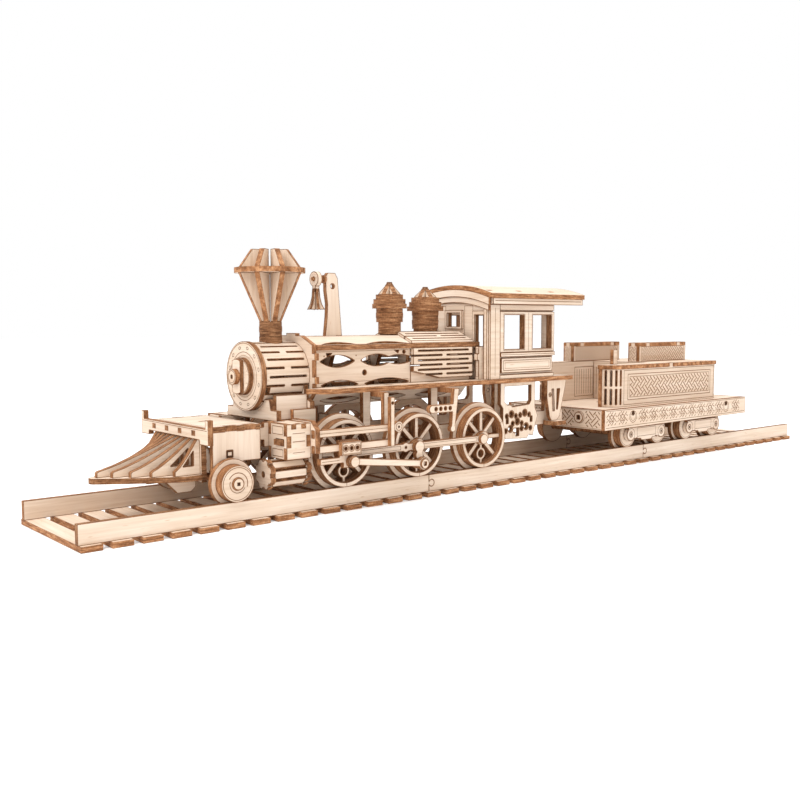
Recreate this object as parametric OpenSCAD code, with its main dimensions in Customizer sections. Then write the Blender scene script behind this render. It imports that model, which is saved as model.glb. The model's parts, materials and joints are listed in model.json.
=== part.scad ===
// Laser-cut plywood model of a steam locomotive and its tender on a length of track.
// +X is forward, +Y is the left side, +Z is up; the origin is the centre of the
// underside of the sleepers. All sheets are plywood of one thickness.

/* [Sheet] */
// Plywood thickness
T = 3; // [2.8:0.1:3.2]
// Running clearance of an axle or pin in its hole (radius)
fit = 0.06; // [0.03:0.01:0.1]

/* [Track] */
// Length of the track
track_l = 680; // [640:10:760]
// Distance between sleepers
tie_pitch = 15.9; // [15:0.1:17]
// Width of a sleeper along the track
tie_w = 11; // [8:0.5:12]
// Half length of a sleeper
tie_half = 43.4; // [42:0.2:46]
// Height of the rail plank above the sleepers
rail_h = 10.75; // [9:0.25:12]
// Outer face of the rail from the centre line
rail_y = 40.3; // [39.5:0.1:41]

/* [Wheels] */
// Tread radius of the driving wheels
drv_r = 20; // [19:0.5:20]
// Distance between driving axles
drv_pitch = 56.9; // [56:0.1:58]
// Middle driving axle, distance ahead of the track centre
drv_x = 122.7; // [122:0.1:124]
// Tread radius of the pilot and tender wheels
car_r = 10; // [9.5:0.25:10]
// Pilot axle, distance ahead of the track centre
pilot_x = 252.5; // [251:0.5:254]
// Coupling pin throw
pin_throw = 5.5; // [4:0.5:6]

/* [Bodywork] */
// Height of the boiler centre line
boil_z = 79; // [78:0.5:80]
// Smokebox ring radius
ring_r = 20.5; // [19.5:0.5:21]
// Height of the running board's top
run_z = 71.5; // [71:0.5:72]
// Height of the tender deck's top
deck_z = 45; // [44.5:0.5:46]

/* [Hidden] */
$fn = 64;
e = 0.01;
rail_top = T + rail_h;
az = rail_top + drv_r + 0.05;      // driving axle height
cz = rail_top + car_r + 0.05;      // pilot and tender axle height
fl_y = rail_y - T - 1.3;           // outer face of a flange disc
x1 = drv_x + drv_pitch; x3 = drv_x - drv_pitch;
main_p = [5.2, -10];               // main crank pin from the axle
wrist = [181.9, 30.1];             // crosshead pin
bog = [-110.2, -189.2]; bog_wb = 19.7;
light = [0.90,0.80,0.66]; mid = [0.86,0.74,0.58]; dark = [0.62,0.42,0.26];

// ---- helpers -------------------------------------------------------------
module sy(y0, t = T) translate([0, y0 + t, 0]) rotate([90,0,0]) linear_extrude(t) children();   // outline in X-Z
module sx(x0, t = T) translate([x0, 0, 0]) rotate([90,0,90]) linear_extrude(t) children();       // outline in Y-Z
module sz(z0, t = T) translate([0, 0, z0]) linear_extrude(t) children();                          // outline in X-Y
module both() { children(); mirror([0,1,0]) children(); }
module rect(a, b) translate([min(a[0],b[0]), min(a[1],b[1])]) square([abs(b[0]-a[0]), abs(b[1]-a[1])]);
module at(p) translate([p[0], p[1]]) children();
module yrod(x, z, y0, y1, r, n = 48) translate([x, y0, z]) rotate([-90,0,0]) cylinder(r = r, h = y1 - y0, $fn = n);
// lens: two arcs, length l, height h
module lens(l, h) { R = (l*l/4 + h*h/4)/h; intersection() { translate([0, h/2 - R]) circle(R, $fn=96); translate([0, R - h/2]) circle(R, $fn=96); } }
// finger-jointed box of plates: low corner p, size s, nv fingers up a corner, nx fingers along the top
module fseg(i, n, l) if (i % 2 == 1) { children(); }
module fbox(p, s, nv = 3, nx = 5) translate(p) {
  hv = s[2] / nv; hx = (s[0] - 2*T) / nx;
  for (m = [0,1]) translate([0, m*(s[1]-T), 0]) difference() {
    cube([s[0], T, s[2]]);
    for (i = [0:nv-1], k = [0,1]) if (i % 2 == 1) translate([k*(s[0]-T) - (k==0?e:0), -e, i*hv]) cube([T+e, T+2*e, hv]);
    for (i = [0:nx-1]) if (i % 2 == 0) translate([T + i*hx, -e, s[2]-T]) cube([hx, T+2*e, T+e]);
  }
  for (k = [0,1]) translate([k*(s[0]-T), 0, 0]) union() {
    translate([0, T, 0]) cube([T, s[1]-2*T, s[2]]);
    for (i = [0:nv-1]) if (i % 2 == 1) translate([0, 0, i*hv]) cube([T, s[1], hv]);
  }
  translate([0,0,s[2]-T]) union() {
    translate([T, T, 0]) cube([s[0]-2*T, s[1]-2*T, T]);
    for (i = [0:nx-1]) if (i % 2 == 0) translate([T + i*hx, 0, 0]) cube([hx, s[1], T]);
  }
}

// ---- track ---------------------------------------------------------------
n_tie = floor((track_l - 12) / tie_pitch) + 1;
function tie_x(i) = track_l/2 - 6 - i*tie_pitch;
module rail_2d(a, b, knob_a, knob_b) difference() {
  union() {
    rect([a + (knob_a ? 0.05 : 0), T], [b, rail_top]);
    if (knob_a) at([a - 2.2, T + rail_h*0.5]) circle(2.2, $fn=32);
    if (knob_a) rect([a - 1.8, T + rail_h*0.5 - 1], [a + 1, T + rail_h*0.5 + 1]);
  }
  if (knob_b) at([b - 2.2, T + rail_h*0.5]) circle(2.26, $fn=32);
  if (knob_b) rect([b - 1.8, T + rail_h*0.5 - 1.06], [b + 1, T + rail_h*0.5 + 1.06]);
}
module rail_seg(i) { s = track_l/3; a = -track_l/2 + i*s; sy(rail_y - T) rail_2d(a, a + s, i > 0, i < 2); }
module rail_left() color(light) for (i=[0:2]) rail_seg(i);
module rail_right() color(light) mirror([0,1,0]) for (i=[0:2]) rail_seg(i);
module sleepers() color(mid) for (i=[0:n_tie-1])
  translate([tie_x(i) - tie_w/2, -tie_half, 0]) cube([tie_w, 2*tie_half, T]);

// ---- cowcatcher and pilot ------------------------------------------------
cb_z = 25.5;      // underside of the base plate
cx0 = 266;        // back of the base plate
ctip = 317.5;
function cfront(y) = 314 - 0.9*abs(y) - 0.02*y*y;
module cowcatcher_base() color(mid) {
  sz(cb_z) polygon([[cx0,-28],[276,-28],[284,-24],[303.5,-12],[ctip-1,-3],[ctip,-1.5],[ctip,1.5],[ctip-1,3],[303.5,12],[284,24],[276,28],[cx0,28]]);
  sy(17) polygon([[cx0,cb_z],[284,cb_z],[277,18.5],[cx0+3,18.5],[cx0,21]]);
  mirror([0,1,0]) sy(17) polygon([[cx0,cb_z],[284,cb_z],[277,18.5],[cx0+3,18.5],[cx0,21]]);
  // upright board behind the fins
  color(light) sx(cx0 - T) difference() {
    polygon([[-27,cb_z-1.5],[27,cb_z-1.5],[27,48],[-27,48]]);
    rect([-9,29],[9,43]);
  }
}
module fin_2d(y) { f = cfront(y); h = 48; b = cb_z + T; difference() {
    polygon(concat([[cx0, b],[f, b],[f, b+2.6],[f-1, b+3.4]],
      [for (i=[1:7]) let(t=i/8) [ (f-1) + (cx0+1.5-f+1)*t, b+3.4 + (h-b-3.4)*pow(t,1.22) ]],
      [[cx0+1.5, h],[cx0, h]]));
    w = f - cx0;
    if (w > 9) polygon([[cx0+4, b+5],[cx0+4, b+5+min(9, w*0.55)],[cx0+4+w*0.42, b+5]]);
    else polygon([[cx0+2.2, b+4],[cx0+2.2, b+9],[cx0+4.4, b+4]]);
  } }
module cowcatcher_fins() color(light) for (y=[-24:6:24]) sy(y - T/2) fin_2d(y);

dk_z = 51.3;  // underside of the pilot deck
module pilot_deck() color(light) sz(dk_z) difference() {
  rect([232,-32],[266,32]);
  both_xy() { rect([234.95,29-0.05],[242.05,33]); rect([246.95,29-0.05],[254.05,33]); }
}
module pilot_side_2d() difference() {
  union() { rect([232,34.4],[262,dk_z]); rect([235,dk_z-1],[242,dk_z+T]); rect([247,dk_z-1],[254,dk_z+T]); polygon([[243,35],[246,19.5],[259,19.5],[262,26],[262,35]]); }
  at([pilot_x, cz]) circle(2 + fit);
  rect([249.5,37],[253.5,41]);
}
module pilot_side_plates() color(light) both() sy(29) pilot_side_2d();
module buffer_beam() color(light) sx(cx0) union() {
  rect([-40.5,48],[40.5,54.3]);
  both2() { rect([31,45.5],[40.5,54.3]); rect([37.5,54],[40.5,59]); }
}
module both2() { children(); mirror([1,0]) children(); }

// ---- frames --------------------------------------------------------------
fr_y = 23;  // inner face of a frame plate
module frame_2d() difference() {
  union() {
    polygon([[-32,36],[-32,46],[36,46],[36,43],[190,43],[190,60],[206,60],[206,54],[226,54],[226,51.3],[262.95,51.3],[262.95,44],[226,44],[226,40],[200,40],[198,30],[40,30],[34,36]]);
    rect([34,42],[40,68.5]); rect([93,42],[99,68.5]); rect([149,42],[155,68.5]); rect([-20,45],[-12,68.5]);
    for (x=[x1,drv_x,x3]) at([x,az]) circle(8);
  }
  for (x=[x1,drv_x,x3]) at([x,az]) circle(T + fit);
  for (x=[205]) at([x,49]) lens(24,6);
}
module main_frames() {
  color(light) both() sy(fr_y) frame_2d();
  color(mid) for (x=[214,151,95,30]) translate([x,-fr_y,42]) cube([T,2*fr_y,9]);
  // rear stretcher with the coupling pin under it
  color(mid) translate([-31,-fr_y,41]) cube([16,2*fr_y,T]);
  color(dark) translate([-25,0,34.5]) cylinder(r=3.9,h=6.5,$fn=48);
}

// ---- cylinders and slide bars --------------------------------------------
ch0 = [207,26,34]; chs = [16,19,20];
module steam_chests() color(light) both() {
  fbox([ch0[0], fr_y+T, ch0[2]], [chs[0], 45-fr_y-T, chs[2]], 3, 3);
  // floor of the chest, slotted locking tab on its front
  translate([ch0[0]+T, fr_y+2*T, ch0[2]]) cube([chs[0]-2*T, 45-fr_y-3*T, T]);
  translate([ch0[0]+chs[0], 34, 42]) cube([1.6, 8, 3.2]);
}
cyl = [33.5, 25.685]; cyl_r = 8.6;
module oct_ring(r, w) difference() { rotate(22.5) circle(r, $fn=8); rotate(22.5) circle(r-w, $fn=8); }
module cylinders() color(light) both() {
  for (x=[204.2, 228.4]) sx(x) at(cyl) difference() {
    rotate(22.5) circle(cyl_r+0.4, $fn=8);
    circle(1.6);
    for (a=[0:45:315]) rotate(a) translate([cyl_r-1.2,-1.1]) square([3,2.2]);
  }
  for (a=[0:45:315]) translate([204.2+T, cyl[0], cyl[1]]) rotate([a,0,0]) translate([0,-2.2,cyl_r-3.6]) cube([21.2,4.4,2.6]);
}
gb_y = 45.9;  // inner face of the slide bar layer
module guide_bars() { color(mid) both() {
  sx(ch0[0]-T) difference() { polygon([[fr_y+T,36.5],[gb_y+T+1,36.5],[gb_y+T+1,50.5],[45,55],[fr_y+T,55]]);
    for (z=[45.4,36.5]) rect([gb_y,z],[gb_y+T,z+4.2]); at([35,47]) circle(3); }
  } color(light) both() {
  sy(gb_y) { rect([147,45.4],[206.5,49.6]); at([145.2,47.5]) circle(3.4); }
  sy(gb_y) rect([150.5,36.5],[206.5,40.6]);
} }
module motion_brackets() color(light) both() {
  sy(gb_y+T) difference() { rect([151,36.5],[154,66]); at([152.5,62.5]) circle(0.8,$fn=16); }
  sy(gb_y-T) { polygon([[150.6,46],[154.4,46],[154.4,68.5],[150.6,68.5]]); }
  translate([150.6,33,65.5]) cube([3.8,12.9,3]);
  translate([95.5,33,65.5]) cube([4,15.9,3]);
  // reversing lever with its pierced arm
  sy(gb_y) difference() {
    union() { polygon([[95.3,68.5],[99.5,68.5],[101.8,43],[99,43]]); rect([98,53.8],[118,58.8]); at([118,56.3]) circle(2.5,$fn=32); at([100.4,43]) circle(2.2,$fn=32); }
    for (x=[103:4:115]) at([x,56.3]) circle(1.3,$fn=8);
  }
}

// ---- smokebox ------------------------------------------------------------
sb0 = 190; sb1 = 220;
module saddle() color(light) {
  sx(sb0+1) difference() { polygon([[-26,60],[26,60],[26,64],[20,66],[19,78],[16.8,78],[-16.8,78],[-19,78],[-20,66],[-26,64]]); at([0,boil_z]) circle(20.1); }
  sx(sb1-4.5) difference() { polygon([[-28,54],[28,54],[28,60],[21.5,60],[20,66],[-20,66],[-21.5,60],[-28,60]]); at([0,boil_z]) circle(20.1); }
  both() sy(19.6) rect([sb0+1+T,54.1],[sb1-4.5,68.4]);
}
module smokebox_ring() color(light) sx(sb1+0.1) at([0,boil_z]) difference() {
  circle(ring_r, $fn=96);
  circle(2, $fn=32);
}
module smokebox_door() color(light) {
  sx(sb1+0.1+T) at([0,boil_z]) difference() { circle(11, $fn=96); circle(2,$fn=32); }
  // strap across the door
  sx(sb1+0.1+2*T, 2.2) at([0,boil_z]) difference() { intersection() { circle(10.2,$fn=96); square([9,22],center=true);} circle(2,$fn=32); }
}
module door_handle() color(dark) {
  sx(sb1+0.1+2*T+2.2) at([0,boil_z]) difference() { circle(4.6,$fn=48); square([2,2],center=true); }
  translate([sb1+0.1, 0, boil_z]) rotate([0,90,0]) cylinder(r=1.95, h=2*T+2.2, $fn=32);
}
wrap_n = 24;
module smokebox_wrap() color(light) translate([sb0,0,boil_z]) rotate([0,90,0]) rotate([0,0,180]) difference() {
  cylinder(r=20, h=sb1-sb0, $fn=120);
  translate([0,0,-1]) cylinder(r=17, h=sb1-sb0+2, $fn=120);
  for (i=[0:wrap_n-1]) rotate([0,0,i*360/wrap_n]) translate([18.4,-0.5,0]) {
    if (i % 2 == 0) { translate([-3,0,2.4]) cube([6,1,sb1-sb0-4.8]); }
    else { translate([-3,0,-1]) cube([6,1,13.6]); translate([-3,0,17.4]) cube([6,1,14]); }
  }
  // notches low on each side
  for (s=[-1,1]) rotate([0,0,180+s*66]) translate([15,-2.4,0]) { translate([0,0,-1]) cube([8,4.8,4]); translate([0,0,sb1-sb0-3]) cube([8,4.8,4]); }
}

// ---- boiler --------------------------------------------------------------
rg_z = 94;       // underside of the ridge strips
function oct(g) = [[-10-g*0.4,102+g],[10+g*0.4,102+g],[22+g,97+g*0.3],[22+g,68.5],[14+g*0.4,60-g],[-14-g*0.4,60-g],[-22-g,68.5],[-22-g,97+g*0.3]];
module former_2d(front=false) difference() {
  union() {
    polygon([[-9,98.9],[9,98.9],[15,96.9],[15,94],[18.9,94],[18.9,71.6],[15,71.6],[15,68.4],[12,62.9],[-12,62.9],[-15,68.4],[-15,71.6],[-18.9,71.6],[-18.9,94],[-15,94],[-15,96.9]]);
    if (front) polygon(oct(0.6));
  }
  circle_hole();
}
module circle_hole() at([0,80]) circle(13.5, $fn=8);
module boiler_formers() color(mid) {
  sx(187) difference() { union() { polygon(oct(0.6)); for (z=[74,88]) rect([-25.2,z],[25.2,z+4.2]); rect([-5,102],[5,104]); } circle_hole(); }
  for (x=[150,111,57]) sx(x) former_2d();
}
// panels run from the cab wall x=53 to the front former x=187
module boiler_top_panels() color(light) {
  difference() {
    sz(99) rect([113.2,-9],[187,9]);
    for (x=[172,134]) translate([x,0,98]) cylinder(r=2.4,h=5,$fn=32);
    translate([157.15,-T/2-0.05,98]) cube([8.1,T+0.1,5]);
  }
  sz(99.6) rect([53.1,-9],[112.8,9]);
  both() intersection() {
    translate([113.2,0,0]) rotate([90,0,90]) linear_extrude(73.8) polygon([[22.5,97],[10.2,102],[9.2,99.2],[15.3,97]]);
    // wavy lower edge
    difference() { translate([100,0,90]) cube([100,40,20]); 
      for (x=[170,132]) translate([x,24,101]) rotate([-22,0,0]) scale_lens(x==170?26:34, 7); }
  }
}
module scale_lens(l,h) translate([0,0,-8]) linear_extrude(16) lens(l,h);
module side_cut() {
  at([171,87]) lens(26,7.4);
  at([140.5,87]) lens(26,7.4);
  at([122.5,87]) lens(26,6);
  at([169.5,72.6]) lens(28,5.6);
  at([132.5,72.6]) lens(36,5.6);
  at([150.5,79.5]) circle(1.6,$fn=24);
  at([118.5,91.7]) circle(1.2,$fn=24);
  polygon([[179.5,91.9],[175,91.9],[178.6,89.3]]);
  polygon([[126.5,92.8],[122.5,92.8],[123.5,90.9]]);
}
module boiler_side_panels() color(light) both() sy(19) difference() {
  union() { rect([113.2,run_z],[186.9,rg_z]); }
  side_cut();
}
module boiler_ridges() color(dark) both() sz(rg_z) rect([53.1,15.1],[186.9,24.6]);
module boiler_lower_panels() color(light) both() difference() {
  translate([62,0,0]) rotate([90,0,90]) linear_extrude(124.9) polygon([[22,68.5],[14,60],[12.2,62.3],[18,68.5]]);
  for (x=[166,128,90]) translate([x,19,61]) rotate([42,0,0]) scale_lens(30,6);
}
module firebox_wrap() color(light) both() {
  // side sheet with bending slots
  sy(19) rect([60.2,run_z],[113,79]);
  sy(22) difference() {
    polygon([[60.2,74],[90,74],[113,79],[113,rg_z],[60.2,rg_z]]);
    for (i=[0:5]) let(z = 91.6 - i*3.1) if (i % 2 == 0) rect([64,z],[109,z+0.9]);
      else { rect([58,z],[84,z+0.9]); rect([88,z],[114,z+0.9]); }
  }
  difference() {
    translate([58,0,0]) rotate([90,0,90]) linear_extrude(55) polygon([[23.5,97],[22.8,98.6],[9.2,104.2],[9.2,99.2],[15.3,97]]);
    for (i=[0:2]) translate([i%2==0?62:56, 12+i*3.6, 95]) cube([i%2==0?47:25, 0.9, 12]);
    for (i=[1]) translate([85, 12+i*3.6, 95]) cube([40, 0.9, 12]);
  }
}

// ---- chimney, bell, domes ------------------------------------------------
chx = 204.3;
module chimney_neck() color(dark) {
 translate([chx,0,0]) difference() { translate([0,0,97]) cylinder(r=6.9,h=2.02,$fn=64); translate([0,0,90]) cylinder(r=3,h=12,$fn=32); translate([-20,0,boil_z]) rotate([0,90,0]) cylinder(r=20.02,h=40,$fn=120); }
 for (i=[0:3]) translate([chx,0,99.02+i*T]) difference() {
  cylinder(r=(i%2==0)?6.9:6.7, h=T, $fn=64);
  translate([0,0,-1]) cylinder(r=3, h=T+2, $fn=32);
} }
ck = 111.02; cr_z = 139.8;
module chimney_fins() { color(light) union() {
  for (a=[0:45:315]) translate([chx,0,0]) rotate([0,0,a+35.5]) {
    sy(-T/2) polygon([[3.9,ck],[6.4,ck],[19.4,cr_z],[3.9,cr_z]]);
    sy(-T/2) polygon([[5,cr_z+T],[19.2,cr_z+T],[11.4,153.6],[5,153.6]]);
  }
 }
 color(dark) translate([chx,0,cr_z]) difference() { cylinder(r=21.05,h=T,$fn=96); translate([0,0,-1]) cylinder(r=5,h=T+2,$fn=48); } }

bl = [171.2, 137.2];   // bell pivot x, z
module bell_bracket() color(light) {
  sy(-T/2) difference() { 
    union() { rect([157.2,99],[165.2,102.1]); polygon([[152.6,102],[165.2,102],[163.8,114],[163.4,122],[164.6,130],[164.6,139],[163,141.2],[157.5,141.2],[155.6,138]]); }
    at([159.6,133]) circle(1.6,$fn=24);
  }
  translate([164.6,0,bl[1]]) rotate([0,90,0]) cylinder(r=1.2, h=9.4, $fn=32);
  translate([164.6,0,bl[1]]) rotate([0,90,0]) cylinder(r=2.6, h=1.2, $fn=32);
}
module bell() color(mid) {
  sx(bl[0]-T/2) at([0,bl[1]]) difference() { union() { circle(4.6,$fn=48); rect([-1.6,-8],[1.6,0]); } circle(1.2+fit,$fn=32); }
  translate([bl[0],0,0]) for (a=[0:60:120]) rotate([0,0,a+15]) sy(-0.75,1.5) polygon([[-2.2,131],[2.2,131],[2.6,126],[3.6,122],[5.4,118.4],[-5.4,118.4],[-3.6,122],[-2.6,126]]);
}
module disc_stack(x, z0, rr) for (i=[0:len(rr)-1]) translate([x,0,z0+i*T]) cylinder(r=rr[i], h=T, $fn=72);
module sand_dome() color(dark) { 
  translate([112.4,0,102.6]) cylinder(r=7.5,h=7.9,$fn=64);
  disc_stack(112.4, 110.5, [8.8,9,8.8,11.4,10.6,9]); color(light) cap_x(112.4, 128.5, 7.5, 8); }
module steam_dome() color(dark) { translate([81,0,102.6]) cylinder(r=8,h=3.4,$fn=64);
  disc_stack(81, 106, [8.9,9.1,8.8,9.1,12.4,11,9.5]); color(light) cap_x(81, 127, 7.7, 7); }
module cap_x(x, z0, r, h) for (a=[0,60,120]) translate([x,0,0]) rotate([0,0,a+20]) sy(-T/2) polygon([[-r,z0],[r,z0],[r-0.6,z0+1],[0.8,z0+h],[-0.8,z0+h],[-r+0.6,z0+1]]);

// ---- running board and cab -------------------------------------------------
module running_boards() color(light) sz(run_z - T) difference() {
  union() { both_xy() polygon([[-31.5,16],[196,16],[196,26],[190.5,33],[186,36],[-31.5,36]]); rect([-12,-16.1],[50,16.1]); }
  both_xy() rect([187-0.05,16-e],[196.1,24.7]);
  both_xy() rect([190,16-e],[197,21]);
}
module both_xy() { children(); mirror([0,1]) children(); }
cbx = 53; cby = 33; ca = -12;
roof_r = 116; roof_c = 136 - 3 - 116;   // centre height of the inner roof arc
module arc_sheet(r0, r1, half) intersection() { difference() { circle(r1,$fn=240); circle(r0,$fn=240); } rect([-half,90],[half,130]); }
module cab_end_walls() color(light) {
  sx(cbx-T) difference() {
    intersection() { rect([-cby,run_z],[cby,140]); at([0,roof_c]) circle(roof_r-0.03,$fn=240); }
    both2() rect([20.6,94],[29.8,115.4]);
    rect([-6.6,107.4],[6.6,116.8]);
    rect([-8,run_z-1],[8,96]);
  }
  sx(ca) difference() { intersection() { rect([-cby+T,run_z],[cby-T,140]); at([0,roof_c]) circle(roof_r-0.03,$fn=240); } rect([-25,run_z-1],[25,116]); }
}
module win_pair_2d() { rect([39.2,91.8],[19.4,115.2]); rect([10.6,91.8],[-9.0,115.2]); }
module cab_sides() color(light) both() {
  sy(cby-T) difference() { rect([ca,run_z],[cbx-T,128.2]); win_pair_2d(); }
  // raised frames, sill and corner posts
  sy(cby,1.5) difference() { rect([ca,89.6],[43.4,117.6]); rect([39.2,91.8],[19.4,115.2]); rect([10.6,91.8],[-9.0,115.2]); }
  sy(cby,2.4) rect([ca,86.6],[43.4,89.4]);
  sy(cby,1.5) rect([ca,run_z],[43.4,74.2]);
  sy(cby,1.2) rect([ca+1.5,75.6],[41.5,85.6]);
}
module cab_roof() color(light) translate([-41,0,roof_c]) rotate([90,0,90]) linear_extrude(96.4) intersection() { difference() { circle(roof_r+T,$fn=300); circle(roof_r,$fn=300); } rect([-38.3,100],[38.3,130]); }
module cab_mouldings() color(mid) {
  // arched bands across the front
  sx(cbx, 2.2) intersection() { at([0,roof_c]) difference() { circle(roof_r-0.05,$fn=240); circle(roof_r-9,$fn=240); } rect([-35,100],[35,140]); }
  sx(cbx+2.2, 1.2) intersection() { at([0,roof_c]) difference() { circle(roof_r-0.05,$fn=240); circle(roof_r-5,$fn=240); } rect([-36.5,100],[36.5,140]); }
  // fascias below the roof edge
  both() sy(34.4) difference() { rect([-40,122.4],[cbx-0.05,126.7]); }
  both() sy(33.0,1.35) rect([ca,118.4],[43.4,122.3]);
  // corner posts on the front wall and the skirt beside the firebox
  both() sx(cbx,1.8) { rect([30.2,run_z],[33,122]); }
  both() sx(cbx,1.4) difference() { rect([18.6,97.1],[32.4,118]); rect([20.6,94],[29.8,115.4]); }
  both() sx(cbx,4.6) rect([25.1,run_z],[28.4,93.9]);
  both() sx(cbx+4.6,1.4) rect([25.1,84.6],[28.4,89]);
  // frame round the middle window
  sx(cbx,1.8) difference() { rect([-8.6,105.6],[8.6,118.6]); rect([-6.6,107.4],[6.6,116.8]); }
  // side posts
  both() sy(33,1.6) rect([43.5,run_z],[52.9,122.3]);
}
module scroll_cut(x,z) { at([x,z]) circle(2.1,$fn=24); at([x+4.6,z-1.2]) circle(1.5,$fn=24); at([x-4.4,z-1.4]) circle(1.4,$fn=24); }
module under_cab_plates() color(light) both() sy(30) difference() {
  union() { polygon([[6,68.5],[41,68.5],[41,54],[38.5,51],[38.5,33],[36,29.6],[20,28.6],[14,28.6],[12,31],[8,30],[6,36],[3,44],[6,50]]); }
  polygon([[10,66],[37,66],[37,55.5],[34,53],[31,53],[29,51.5],[12,52.5],[10,55]]);
  scroll_cut(30,46.4); scroll_cut(16.5,46.6); scroll_cut(24,41); scroll_cut(31,36.2); scroll_cut(15,37);
  rect([22.2,30.8],[25.8,36.5]); rect([33,40],[35.4,44]); rect([8.6,40],[11,44]);
}
module cab_steps() color(light) both() {
  sy(30) difference() { polygon([[-7,68.5],[-28,68.5],[-21,42],[-17.5,39],[-12,39],[-10,42],[-7,56]]); polygon([[-12,62],[-14.2,62],[-15.4,46],[-13.2,46]]); polygon([[-17.5,62],[-21,62],[-18.6,47],[-17.2,47]]); at([-10.2,58]) circle(1.4,$fn=24); }
  sz(39-T) rect([-22,27],[-10,38]);
}

// ---- wheels --------------------------------------------------------------
module spokes(r0, r1, w, n, skip=-1) for (i=[0:n-1]) if (i != skip) rotate(i*360/n) translate([r0,-w/2]) square([r1-r0,w]);
module drv_layer(R, ri, hub, loop) difference() {
  union() {
    difference() { circle(R,$fn=120); circle(ri,$fn=120); }
    circle(hub,$fn=48);
    if (loop) { spokes(hub-1, ri+0.5, 2.8, 8, 6); at([0,-10.9]) circle(4.1,$fn=40); rect([-1,-ri-0.5],[1,-14]); rect([-1,-7.2],[1,-hub+1]);
      at([pin_throw,0]) circle(3.3,$fn=40); }
  }
  circle(T,$fn=48);
  if (loop) at([0,-10.9]) circle(2.5,$fn=32);
  if (loop) at([pin_throw,0]) circle(1.5,$fn=32);
}
// one wheel on the left: flange disc, spoked layer, rim layer and hub washer
module driver_wheel(web) {
  sy(fl_y-T) drv_layer(drv_r+3.3, drv_r-3, 5, true);
  sy(fl_y) drv_layer(drv_r, drv_r-3, 5, true);
  sy(fl_y+T) difference() { circle(drv_r,$fn=120); circle(drv_r-2.6,$fn=120); }
  sy(fl_y+T) difference() { circle(4.2,$fn=48); circle(T,$fn=48); at([pin_throw,0]) circle(1.5,$fn=32); }
}
py = fl_y + 2*T;                 // outer face of a wheel
module driver(x, kind) translate([x,0,az]) {
  color(dark) translate([0,-(fl_y+2*T),0]) rotate([-90,0,0]) cylinder(r=T, h=2*(fl_y+2*T), $fn=48);
  both() { color(light) driver_wheel();
    // coupling pin, with a washer or the return crank outside the rod
    color(dark) difference() { yrod(pin_throw,0,fl_y-T,kind==0?py+0.35+T:py+0.7+T,1.5,32); yrod(0,0,0,60,T,48); }
    if (kind == 1) color(light) sy(py+0.7+T,2) difference() { circle_at([pin_throw,0],3.3); circle_at([0,0],0.01); }
    if (kind == 2) { color(mid) sy(py+0.7+T) hull_web(); color(dark) yrod(main_p[0],main_p[1],py+0.7+2*T,py+0.7+2*T+0.2,3.2,40); }
  }
}
module circle_at(p,r) at(p) circle(r,$fn=40);
module hull_web() difference() { union() { circle_at([pin_throw,0],3.7); circle_at(main_p,3.7); circle_at([pin_throw+0.3,-5],2.9); polygon([[pin_throw-2.3,0],[pin_throw+2.3,0],[main_p[0]+2.3,main_p[1]],[main_p[0]-2.3,main_p[1]]]); } }
module driver_front() driver(x1, 0);
module driver_middle() driver(drv_x, 2);
module driver_rear() driver(x3, 1);
// small flanged wheels
module small_wheel(layers) {
  sy(fl_y-T) difference() { circle(car_r+3,$fn=96); circle(2,$fn=32); }
  for (i=[0:layers-1]) sy(fl_y+i*T) difference() { circle(car_r,$fn=96); circle(2,$fn=32); }
}
module pilot_wheels() translate([pilot_x,0,cz]) {
  color(dark) translate([0,-(fl_y+2*T+1),0]) rotate([-90,0,0]) cylinder(r=2,h=2*(fl_y+2*T+1),$fn=32);
  color(light) both() small_wheel(2);
  color(mid) both() sy(fl_y+2*T,1) difference() { circle(3.4,$fn=48); circle(2,$fn=32); }
}
// ---- rods ----------------------------------------------------------------
cr_y = py + 0.35;    // inner face of the coupling rod
module coupling_2d() difference() {
  union() { rect([x3+pin_throw,az-2.2],[x1+pin_throw,az+2.2]); for (x=[x1,drv_x,x3]) at([x+pin_throw,az]) circle(3.9,$fn=48); at([drv_x+pin_throw+8.5,az]) circle(3,$fn=48); }
  for (x=[x1,drv_x,x3]) at([x+pin_throw,az]) circle(1.5+fit,$fn=32);
  at([drv_x+pin_throw+8.5,az]) circle(0.8,$fn=24);
}
module coupling_rod_left() color(light) sy(cr_y) coupling_2d();
module coupling_rod_right() mirror([0,1,0]) coupling_rod_left();
mr_y = py + 0.7 + 2*T + 0.5;      // inner face of the main rod
cp = [drv_x + main_p[0], az + main_p[1]];
module main_rod_l() { rl = norm(wrist-cp); an = atan2(wrist[1]-cp[1], wrist[0]-cp[0]);
  color(light) sy(mr_y) at(cp) rotate(an) difference() {
    union() { translate([0,-2]) square([rl,4]); circle(4,$fn=48); translate([rl,0]) circle(3.6,$fn=48); }
    translate([rl,0]) circle(1.5+fit,$fn=32);
  }
  color(dark) sy(mr_y+T,1.2) at(cp) difference() { circle(3,$fn=48); square([2.2,2.2],center=true); }
}
module main_rod_left() main_rod_l();
module main_rod_right() mirror([0,1,0]) main_rod_l();
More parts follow.
